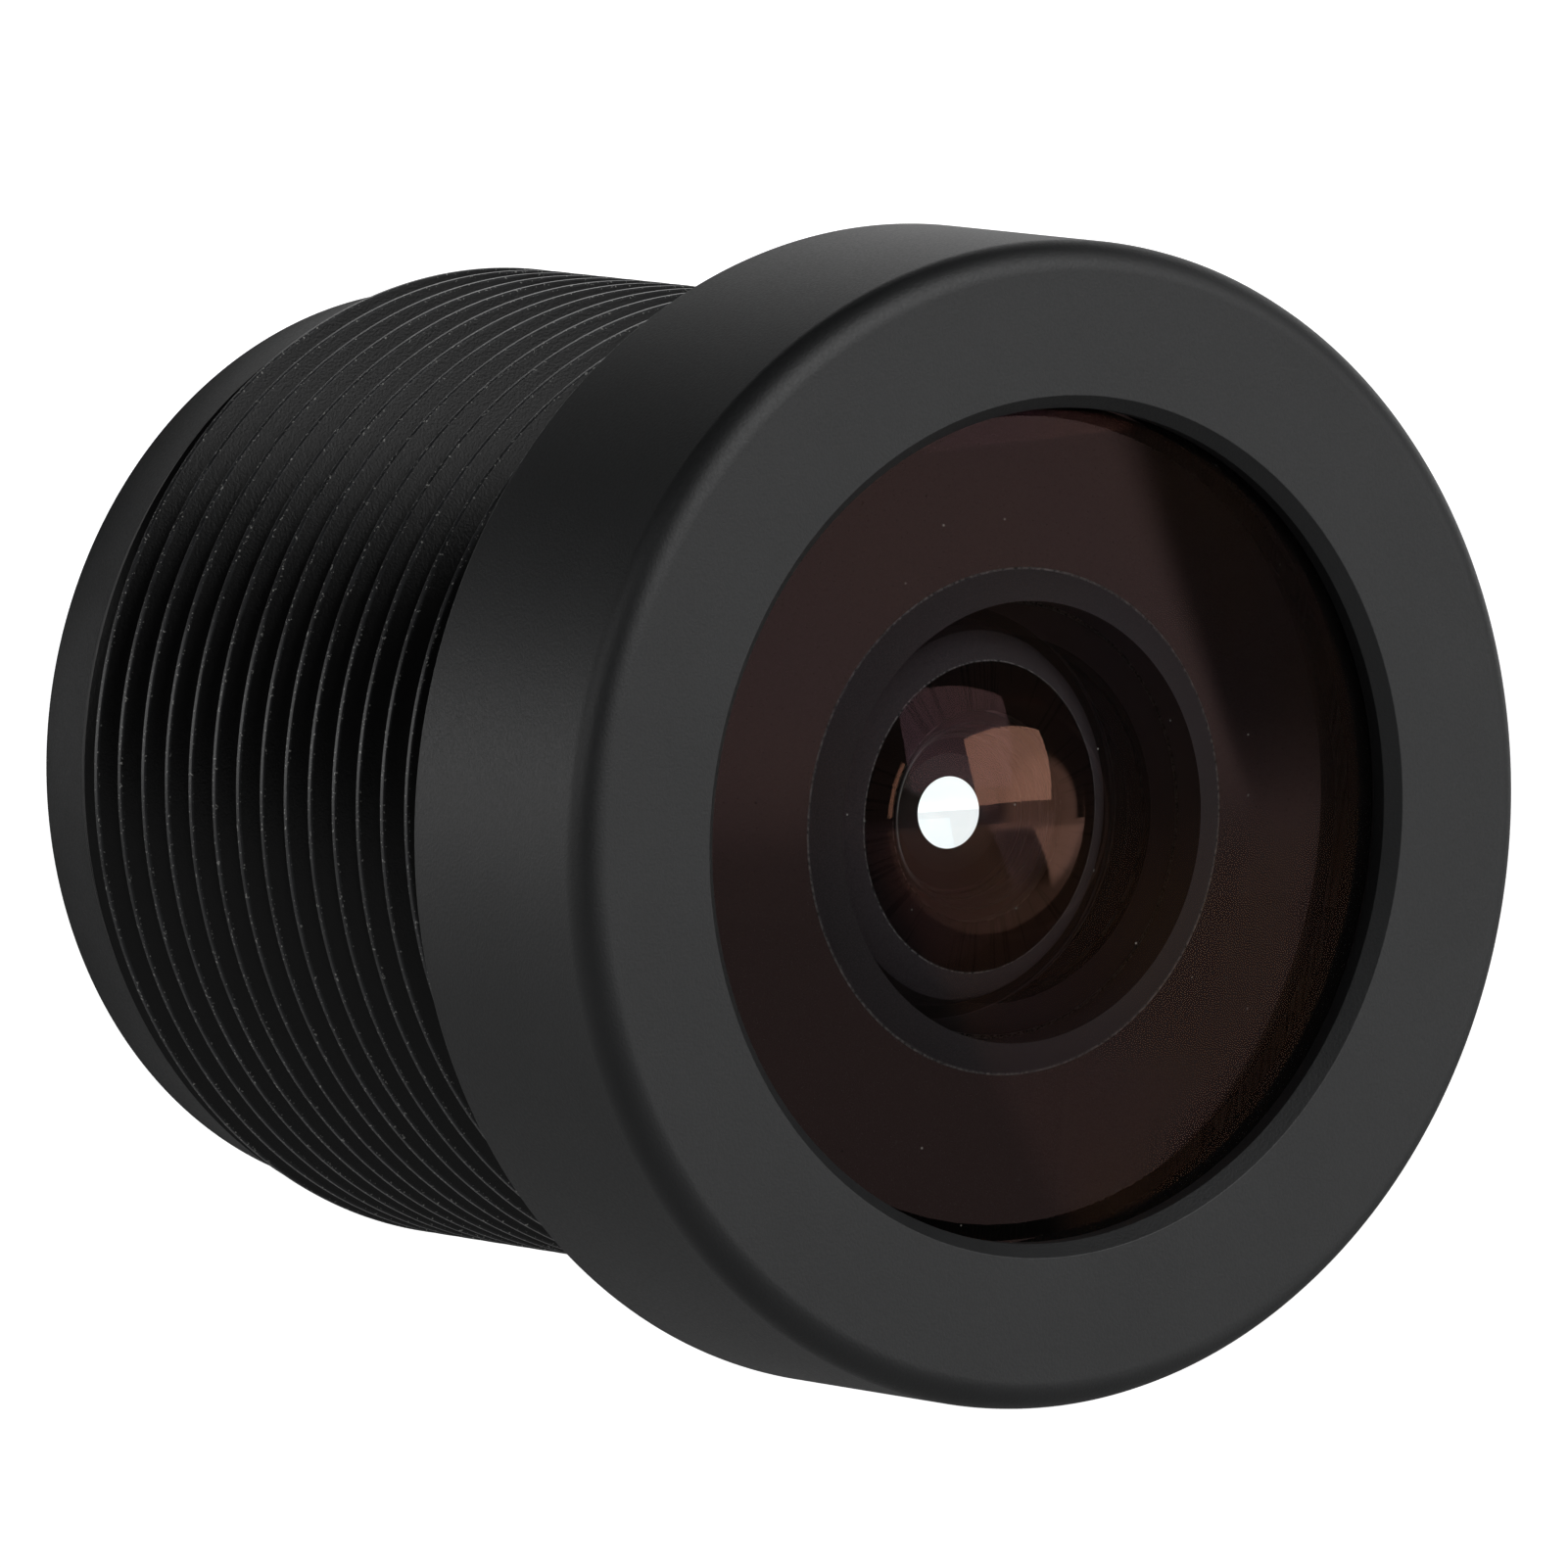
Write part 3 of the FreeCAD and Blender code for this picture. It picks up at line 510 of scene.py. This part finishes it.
def barrelMesh(s, columns=360):
    flat = s["pitch"] / s["flats"]
    depth = (s["pitch"] / 2 - flat) / math.tan(math.radians(s["flank"]))
    root = s["crest"] - depth
    p = s["pitch"]
    # one pitch, with half of the next crest, rounded; kept from crest middle to crest middle
    zigzag = []
    for turn in (-1, 0, 1):
        y = turn * p
        zigzag += [(s["crest"], y, s["crestRounding"]), (s["crest"], y + flat, s["crestRounding"]),
                   (root, y + p / 2, s["rootRounding"]), (root, y + p / 2 + flat, s["rootRounding"])]
    zigzag += [(s["core"], p * 2, 0), (s["core"], -p, 0)]
    points = [pt for run in softened(zigzag, 3) for pt in run[:-1]]
    middle = flat / 2
    period = [(r, y) for r, y in points if middle <= y < p + middle and r > s["core"]]
    if period[0][1] > middle + 1e-6:
        period.insert(0, (s["crest"], middle))
    first, last = places["threadFront"], places["threadEnd"]
    turns = int((last - first) / p) + 3
    rows = [(r, y + (k - 1) * p) for k in range(turns) for r, y in period]
    slope = math.tan(math.radians(s["leadIn"]))
    verts = []
    for j in range(columns):
        angle = 2 * math.pi * j / columns
        shift = first - p * angle / (2 * math.pi)
        for r, y in rows:
            y += shift
            if y < first:
                r, y = s["core"], first
            elif y >= last:
                r, y = s["pilot"], last
            else:
                r = min(r, s["pilot"] + (last - y) * slope)
            verts.append((r * math.cos(angle) * mm, y * mm, r * math.sin(angle) * mm))
    # the helix climbs towards -Y with the angle, so the last column joins the first one row set further on
    n = len(rows)
    step = len(period)
    faces = []
    for j in range(columns):
        ahead = 0 if j < columns - 1 else -step
        a, b = j * n, ((j + 1) % columns) * n
        for i in range(max(0, -ahead), n - 1):
            faces.append((a + i, a + i + 1, b + i + 1 + ahead, b + i + ahead))
    # plain turned walls, from the nose round the inside to the pilot; ink lies between the seat and the glass
    seat = firstSeat + s["inkFilm"]
    walls = [
        (s["core"], first), (s["noseRadius"], first), (s["noseRadius"], s["noseFront"]),
        (s["pocket"], s["noseFront"]), (s["pocket"], seat), (s["grooveOuter"], seat),
        (s["grooveOuter"], seat + s["grooveDepth"]), (s["grooveInner"], seat + s["grooveDepth"]),
        (s["grooveInner"], seat), (s["lip"], seat), (s["lip"], firstSeat + s["lipThickness"]),
        (s["stackBore"], firstSeat + s["lipThickness"]), (s["stackBore"], s["retainerShelf"]),
        (s["retainerBore"], s["retainerShelf"]), (s["retainerBore"], places["rear"] - s["mouthChamfer"]),
        (s["retainerBore"] + s["mouthChamfer"], places["rear"]), (s["pilot"] - s["pilotChamfer"], places["rear"]),
        (s["pilot"], places["rear"] - s["pilotChamfer"]), (s["pilot"], last)]
    base = len(verts)
    for r, y in walls:
        for j in range(columns):
            angle = 2 * math.pi * j / columns
            verts.append((r * math.cos(angle) * mm, y * mm, r * math.sin(angle) * mm))
    for i in range(len(walls) - 1):
        for j in range(columns):
            a, b = base + i * columns + j, base + i * columns + (j + 1) % columns
            faces.append((a, b, b + columns, a + columns))
    mesh = bpy.data.meshes.new("barrelBody")
    mesh.from_pydata(verts, [], faces)
    work = bmesh.new()
    work.from_mesh(mesh)
    bmesh.ops.remove_doubles(work, verts=work.verts, dist=s["weld"] * mm)
    bmesh.ops.dissolve_degenerate(work, edges=work.edges, dist=s["sliver"] * mm)
    bmesh.ops.recalc_face_normals(work, faces=work.faces)
    work.to_mesh(mesh)
    work.free()
    mesh.polygons.foreach_set("use_smooth", [True] * len(mesh.polygons))
    mesh.set_sharp_from_angle(angle=math.radians(s["sharpFrom"]))
    return mesh


barrelShape = barrelMesh(barrel)
for finish in (insideFinish, threadFinish, pilotFinish):
    barrelShape.materials.append(finish)
centres = np.empty(len(barrelShape.polygons) * 3)
barrelShape.polygons.foreach_get("center", centres)
across, along = np.hypot(centres[::3], centres[2::3]) / mm, centres[1::3] / mm
outside = (across > barrel["threadBase"]) & (along > places["threadFront"])
turnedFace = (outside & (along > places["threadEnd"])) | (along > places["rear"] - 1e-4)
barrelShape.polygons.foreach_set("material_index", np.where(turnedFace, 2, np.where(outside, 1, 0)).astype(int))
placed("barrelBody", barrelShape, "barrel")
print("barrel made:", len(barrelShape.polygons), "faces")


# ---- rings of the stack; edge is the rounding of the edges that stand in the light's way

edge = 0.012


def ring(name, corners, finish, node):
    return turned(name, [("plain", run) for run in softened(corners, 3)], {"plain": finish}, node, 192)


baffle = {"hole": 1.59, "radius": 3.56, "thickness": 0.08}
s = baffle
baffleBack = secondBack + s["thickness"]
ring("glareBaffle", [(s["hole"], secondBack, edge), (s["radius"], secondBack, 0), (s["radius"], baffleBack, 0),
                     (s["hole"], baffleBack, edge)],
     blackFoil, "glare_baffle")

frontSpacer = {"bore": 2.10, "radius": 3.58, "seatBore": 2.50, "lip": 1.85, "lipAhead": 0.20, "lipThickness": 0.15}
s = frontSpacer
lipBack = places["thirdFront"] - s["lipAhead"]
lipFront = lipBack - s["lipThickness"]
ring("frontSpacer", [(s["bore"], baffleBack, 0), (s["radius"], baffleBack, 0), (s["radius"], thirdSeat, 0),
                     (s["seatBore"], thirdSeat, 0), (s["lip"], lipBack, edge), (s["lip"], lipFront, edge),
                     (s["bore"], lipFront, edge)],
     insideFinish, "front_spacer")

stop = {"hole": 0.94, "radius": 3.56, "thickness": 0.06}
stopFront, stopBack = places["stop"] - stop["thickness"] / 2, places["stop"] + stop["thickness"] / 2
middleSpacer = {"frontBore": 2.40, "radius": 3.58, "backBore": 1.60}
s = middleSpacer
ring("middleSpacer", [(s["frontBore"], places["thirdRear"], 0), (s["radius"], places["thirdRear"], 0),
                      (s["radius"], stopFront, 0), (s["backBore"], stopFront, edge)],
     insideFinish, "middle_spacer")
s = stop
ring("apertureStop", [(s["hole"], stopFront, edge), (s["radius"], stopFront, 0), (s["radius"], stopBack, 0),
                      (s["hole"], stopBack, edge)],
     blackFoil, "aperture_stop")

cell = {"frontBore": 1.25, "lensBore": 1.50, "shelfBore": 1.80, "pairBore": 2.65, "radius": 3.58,
        "shelfAhead": 0.03, "backBehind": 0.25}
s = cell
cellBack = fifthBack + s["backBehind"]
shelf = pairEdge - s["shelfAhead"]
ring("doubletCell", [(s["frontBore"], stopBack, edge), (s["radius"], stopBack, 0), (s["radius"], cellBack, 0),
                     (s["pairBore"], cellBack, 0), (s["pairBore"], shelf, 0), (s["shelfBore"], shelf, 0),
                     (s["shelfBore"], places["fourthFront"], 0), (s["lensBore"], places["fourthFront"], 0)],
     insideFinish, "doublet_cell")

rearSpacer = {"lip": 2.30, "bore": 2.60, "radius": 3.58, "lipAhead": 0.20}
s = rearSpacer
ring("rearSpacer", [(s["lip"], fifthBack, 0), (s["bore"], fifthBack, 0), (s["bore"], cellBack, 0),
                    (s["radius"], cellBack, 0), (s["radius"], sixthSeat, 0), (s["bore"], sixthSeat, 0),
                    (s["lip"], sixthSeat - s["lipAhead"], edge)],
     insideFinish, "rear_spacer")
print("rings made")

# ---- pieces kept as the CAD made them, with their finishes
kept = {
    "cap_lock_adhesive": clearGlue, "front_seal_ring": sealRubber, "pressure_ring": blackPlastic,
    "rear_retainer": insideFinish, "ir_cut_filter": coatedGlass("coatedFilterGlass", 1.5168, (150, 170)),
    "filter_adhesive": clearGlue, "retainer_lock_adhesive": clearGlue}
for node, finish in kept.items():
    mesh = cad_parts[node].data
    mesh.materials.clear()
    mesh.materials.append(finish)
print("CAD pieces finished")


# ---- camera, from the outlines of the head and thread in the photograph

camera = {"azimuth": -36.22, "elevation": 5.59, "faceRight": 3.283, "faceDown": 0.516, "faceAway": 305.12,
          "focalPixels": 26140, "imagePixels": 1601}
s = camera
a, e = math.radians(s["azimuth"]), math.radians(s["elevation"])
right = Vector((math.cos(a), math.sin(a), 0))
back = Vector((math.sin(a) * math.cos(e), -math.cos(a) * math.cos(e), math.sin(e)))
up = back.cross(right)
spot = Vector((0, places["face"], 0)) - right * s["faceRight"] + up * s["faceDown"] + back * s["faceAway"]
cameraData = bpy.data.cameras.new("camera")
cameraData.sensor_width = 36
cameraData.lens = s["focalPixels"] * cameraData.sensor_width / s["imagePixels"]
cameraData.clip_start, cameraData.clip_end = 0.01, 10
cameraObject = bpy.data.objects.new("camera", cameraData)
cameraObject.matrix_world = Matrix((
    (right.x, up.x, back.x, spot.x * mm), (right.y, up.y, back.y, spot.y * mm),
    (right.z, up.z, back.z, spot.z * mm), (0, 0, 0, 1)))
bpy.context.scene.collection.objects.link(cameraObject)
bpy.context.scene.camera = cameraObject


# ---- studio: white paper behind and below, black cloth on the camera's side, two soft boxes and a dim third.
# Directions are (azimuth, elevation) as in towards below, and spreads the angles where a patch ends and is full.
# The cloth is open behind the lens: opening is half the hole's angle in 8 directions, from the right over the top.

studio = {"floorZ": -22.0, "floorSize": 1500.0, "floorGlow": 0.85, "clothRadius": 420.0,
          "paper": ("#c2c2c2", "#c8c8c8"), "cloth": ("#060606", "#0c0c0c"), "weave": 1.0,
          "opening": [60, 55, 42, 42, 44, 42, 40, 55], "clothBands": 12, "clothSectors": 48,
          # the table, paper edge, lit side and wall settings shape painted reflections: glows seen only in reflections
          # and through glass, no lamps
          "paintedTablePale": 1.0, "paintedTableFade": (140, 260),
          "paintedPaperEdge": {"across": (0.923, 0.384), "offset": 14.8, "soft": 1.5},
          "wall": (74, 0), "wallGlow": 0.55, "wallSpread": (34, 24), "paintedTableSpread": (46, 30),
          "paintedLitSide": (-115, -20), "paintedLitGlow": 0.08, "paintedLitSpread": (60, 35),
          "behind": (180, 0), "behindSpread": (75, 50)}


def seenDirectly(tree):
    # 1 for what the camera sees straight, in a reflection or through glass, else 0
    path = add(tree, "ShaderNodeLightPath")
    straight = add(tree, "ShaderNodeMath", {0: path.outputs["Is Camera Ray"], 1: path.outputs["Is Glossy Ray"]},
                   operation="MAXIMUM")
    return add(tree, "ShaderNodeMath", {0: straight.outputs[0], 1: path.outputs["Is Transmission Ray"]},
               operation="MAXIMUM").outputs[0]


def lyingTowards(tree, place, direction, spread):
    # 1 for places that the lens sees in that direction, fading to 0 between two angles from it
    way = add(tree, "ShaderNodeVectorMath", {0: place}, operation="NORMALIZE").outputs["Vector"]
    aside = add(tree, "ShaderNodeVectorMath", {0: way, 1: towards(*direction)}, operation="DOT_PRODUCT")
    wide, narrow = [math.cos(math.radians(angle)) for angle in spread]
    return add(tree, "ShaderNodeMapRange", {"Value": aside.outputs["Value"]}, interpolation_type="SMOOTHSTEP",
               From_Min=wide, From_Max=narrow).outputs["Result"]


world = bpy.data.worlds.new("studio")
world.use_nodes = True
bpy.context.scene.world = world
tree = world.node_tree
tree.nodes.clear()
sky = add(tree, "ShaderNodeBackground", Color=(1, 1, 1, 1), Strength=1.0)
add(tree, "ShaderNodeOutputWorld", {"Surface": sky.outputs["Background"]})


def towards(azimuth, elevation):
    # a direction as seen from the camera: azimuth 0 is towards the camera and 90 to its right
    la, le = math.radians(azimuth), math.radians(elevation)
    return right * math.sin(la) * math.cos(le) + back * math.cos(la) * math.cos(le) + up * math.sin(le)


def lamp(name, settings):
    data = bpy.data.lights.new(name, "AREA")
    data.shape = "RECTANGLE"
    data.size, data.size_y = settings["width"] * mm, settings["height"] * mm
    data.energy = settings["power"]
    lampObject = bpy.data.objects.new(name, data)
    away = towards(settings["azimuth"], settings["elevation"])
    lampObject.location = away * settings["distance"] * mm
    lampObject.rotation_mode = "QUATERNION"
    lampObject.rotation_quaternion = away.to_track_quat("Z", "Y")
    bpy.context.scene.collection.objects.link(lampObject)


lamps = {
    "softBoxRight": {"azimuth": 50, "elevation": 27, "distance": 300, "width": 300, "height": 250, "power": 0.44},
    "softBoxLeft": {"azimuth": -104, "elevation": 2, "distance": 300, "width": 220, "height": 130, "power": 0.13},
    "softBoxFill": {"azimuth": -54, "elevation": 14, "distance": 300, "width": 160, "height": 160, "power": 0.10}}
for name, settings in lamps.items():
    lamp(name, settings)


def stagePiece(name, verts, faces, finish):
    mesh = bpy.data.meshes.new(name)
    mesh.from_pydata(verts, [], faces)
    mesh.materials.append(finish)
    piece = bpy.data.objects.new(name, mesh)
    bpy.context.scene.collection.objects.link(piece)
    return piece


# white paper: matt, lit by the room, and as pale as the backdrop where the camera sees it, also through the lens.
# Where the lens mirrors the paper on the right, its colour turns black and a painted reflection glows in its place,
# no lamp: bright as far as a painted edge, dark beyond, and half bright far away. On the left the paper glows with
# painted light for reflected rays, a little brighter than its own light makes it.
whitePaper = newMaterial("whitePaper")
tree = whitePaper.node_tree
place = add(tree, "ShaderNodeTexCoord").outputs["Object"]
fibres = add(tree, "ShaderNodeTexNoise", {"Vector": place}, Scale=grain(studio["weave"]), Detail=3.0)
pale = add(tree, "ShaderNodeValToRGB", {"Fac": fibres.outputs["Fac"]}, ramp=shades(*studio["paper"], 0.3, 0.7))
path = add(tree, "ShaderNodeLightPath")
mirrored = add(tree, "ShaderNodeMath", {0: seenDirectly(tree), 1: path.outputs["Is Camera Ray"]},
               operation="SUBTRACT").outputs[0]
# painted light: on the left the paper glows a little more for reflected and refracted rays
paintedGlowLeft = add(tree, "ShaderNodeMath",
                   {0: mirrored, 1: lyingTowards(tree, place, studio["paintedLitSide"], studio["paintedLitSpread"])},
                   operation="MULTIPLY").outputs[0]
# painted reflection on the right: the paper's colour turns black and a glow set by the painted edge and the distance
# takes its place
paintedReflectionRight = add(tree, "ShaderNodeMath",
                    {0: mirrored, 1: lyingTowards(tree, place, studio["wall"], studio["paintedTableSpread"])},
                    operation="MULTIPLY").outputs[0]
paperColour = add(tree, "ShaderNodeMix", {0: paintedReflectionRight, 6: pale.outputs["Color"], 7: (0, 0, 0, 1)},
                  data_type="RGBA")
# the painted edge between the bright strip and the dark beyond it
beside = add(tree, "ShaderNodeVectorMath", {0: place, 1: (*studio["paintedPaperEdge"]["across"], 0)},
             operation="DOT_PRODUCT")
offset, soft = studio["paintedPaperEdge"]["offset"], studio["paintedPaperEdge"]["soft"]
paintedEdgeGlow = add(tree, "ShaderNodeMapRange", {"Value": beside.outputs["Value"]}, interpolation_type="SMOOTHSTEP",
               From_Min=(offset - soft) * mm, From_Max=(offset + soft) * mm, To_Max=studio["paintedTablePale"])
distance = add(tree, "ShaderNodeVectorMath", {0: place}, operation="LENGTH").outputs["Value"]
near, far = studio["paintedTableFade"]
paintedTableGlow = add(tree, "ShaderNodeMapRange", {"Value": distance, "To Min": paintedEdgeGlow.outputs["Result"]},
                interpolation_type="SMOOTHSTEP", From_Min=near * mm, From_Max=far * mm, To_Max=studio["wallGlow"])
paintedRightGlow = add(tree, "ShaderNodeMath", {0: paintedReflectionRight, 1: paintedTableGlow.outputs["Result"]}, operation="MULTIPLY")
paintedMirroredGlow = add(tree, "ShaderNodeMath", {0: paintedGlowLeft, 1: studio["paintedLitGlow"], 2: paintedRightGlow.outputs[0]},
                   operation="MULTIPLY_ADD")
seenThrough = add(tree, "ShaderNodeMath",
                  {0: path.outputs["Is Transmission Ray"],
                   1: lyingTowards(tree, place, studio["behind"], studio["behindSpread"]),
                   2: path.outputs["Is Camera Ray"]}, operation="MULTIPLY_ADD")
glow = add(tree, "ShaderNodeMath", {0: seenThrough.outputs[0], 1: studio["floorGlow"], 2: paintedMirroredGlow.outputs[0]},
           operation="MULTIPLY_ADD")
paper = add(tree, "ShaderNodeBsdfPrincipled",
            {"Base Color": paperColour.outputs[2], "Emission Strength": glow.outputs[0]},
            Roughness=0.9, Emission_Color=(1, 1, 1, 1))
add(tree, "ShaderNodeOutputMaterial", {"Surface": paper.outputs["BSDF"]})
half = studio["floorSize"] / 2 * mm
z = studio["floorZ"] * mm
stagePiece("floor", [(-half, -half, z), (half, -half, z), (half, half, z), (-half, half, z)], [(0, 1, 2, 3)],
           whitePaper)

# black cloth: hangs round the camera's side of the set, so that the lens reflects a dark room there; on the right it
# carries a painted reflection, a dim grey glow seen only in reflections and through glass, though it is no lamp
blackCloth = newMaterial("blackCloth")
tree = blackCloth.node_tree
place = add(tree, "ShaderNodeTexCoord").outputs["Object"]
weave = add(tree, "ShaderNodeTexNoise", {"Vector": place}, Scale=grain(studio["weave"]), Detail=3.0)
black = add(tree, "ShaderNodeValToRGB", {"Fac": weave.outputs["Fac"]}, ramp=shades(*studio["cloth"]))
# painted reflection: a dim glow on the cloth towards the right, for reflected and refracted rays only
wall = add(tree, "ShaderNodeMath",
           {0: lyingTowards(tree, place, studio["wall"], studio["wallSpread"]), 1: studio["wallGlow"]},
           operation="MULTIPLY")
wallSeen = add(tree, "ShaderNodeMath", {0: seenDirectly(tree), 1: wall.outputs[0]}, operation="MULTIPLY")
cloth = add(tree, "ShaderNodeBsdfPrincipled",
            {"Base Color": black.outputs["Color"], "Emission Strength": wallSeen.outputs[0]},
            Roughness=0.9, Emission_Color=(1, 1, 1, 1))
add(tree, "ShaderNodeOutputMaterial", {"Surface": cloth.outputs["BSDF"]})
clothVerts, clothFaces = [], []
bands, sectors = studio["clothBands"], studio["clothSectors"]
corners = len(studio["opening"])
for i in range(bands + 1):
    for j in range(sectors):
        turn = 2 * math.pi * j / sectors
        step, share = divmod(corners * j / sectors, 1)
        near, far = studio["opening"][int(step)], studio["opening"][(int(step) + 1) % corners]
        opening = math.radians(near + (far - near) * share)
        polar = opening + (math.pi - opening) * i / bands
        out = (right * math.cos(turn) + up * math.sin(turn)) * math.sin(polar) - back * math.cos(polar)
        clothVerts.append(out * studio["clothRadius"] * mm)
        if i < bands:
            a, b = i * sectors + j, i * sectors + (j + 1) % sectors
            clothFaces.append((a, b, b + sectors, a + sectors))
cloth = stagePiece("blackCloth", clothVerts, clothFaces, blackCloth)
cloth.visible_camera = False
print("studio made")

# Light crosses 13 polished faces before it leaves at the rear.
cycles = bpy.context.scene.cycles
cycles.max_bounces = 36
cycles.min_light_bounces = 3
cycles.transmission_bounces = 32
cycles.transparent_max_bounces = 16
cycles.glossy_bounces = 8
cycles.diffuse_bounces = 4
bpy.context.scene.view_settings.view_transform = "Standard"
